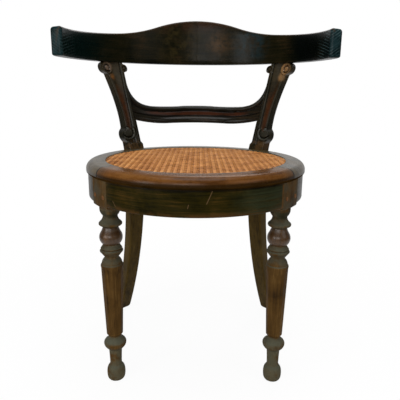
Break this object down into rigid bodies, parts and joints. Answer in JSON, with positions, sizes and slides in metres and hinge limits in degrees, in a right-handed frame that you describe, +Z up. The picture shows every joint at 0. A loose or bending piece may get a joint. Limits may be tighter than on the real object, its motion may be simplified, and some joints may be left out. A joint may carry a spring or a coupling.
{
  "type": "cane chair",
  "caption": "Dark wooden chair with a round cane seat, turned front legs, sabre rear legs with carved posts, a moulded cross rail and a bow-shaped crest rail.",
  "frame": {"origin": "on the floor, at the middle of the chair's overall width and depth", "axes": "+Z up, the sitter looks towards -Y, +X to the viewer's right when seen from the front"},
  "size_m": [0.602, 0.536, 0.785],
  "materials": {
    "stained_wood": "worn dark stain and wax",
    "cane": "aged woven cane"
  },
  "bodies": {
    "root": {"front_leg_left": "stained_wood", "front_leg_right": "stained_wood", "rear_leg_left": "stained_wood", "rear_leg_right": "stained_wood", "apron_front": "stained_wood", "apron_left": "stained_wood", "apron_right": "stained_wood", "apron_rear": "stained_wood", "seat_ring_front": "stained_wood", "seat_ring_left": "stained_wood", "seat_ring_right": "stained_wood", "seat_ring_rear": "stained_wood", "crest_rail_left": "stained_wood", "crest_rail_right": "stained_wood", "back_cross_rail": "stained_wood", "front_leg_pegs": "stained_wood", "rear_leg_pegs": "stained_wood", "ring_joint_dowels": "stained_wood", "ring_apron_dowels": "stained_wood", "crest_joint_dowels": "stained_wood", "post_top_dowels": "stained_wood", "cane_panel": "cane"}
  },
  "joints": []
}
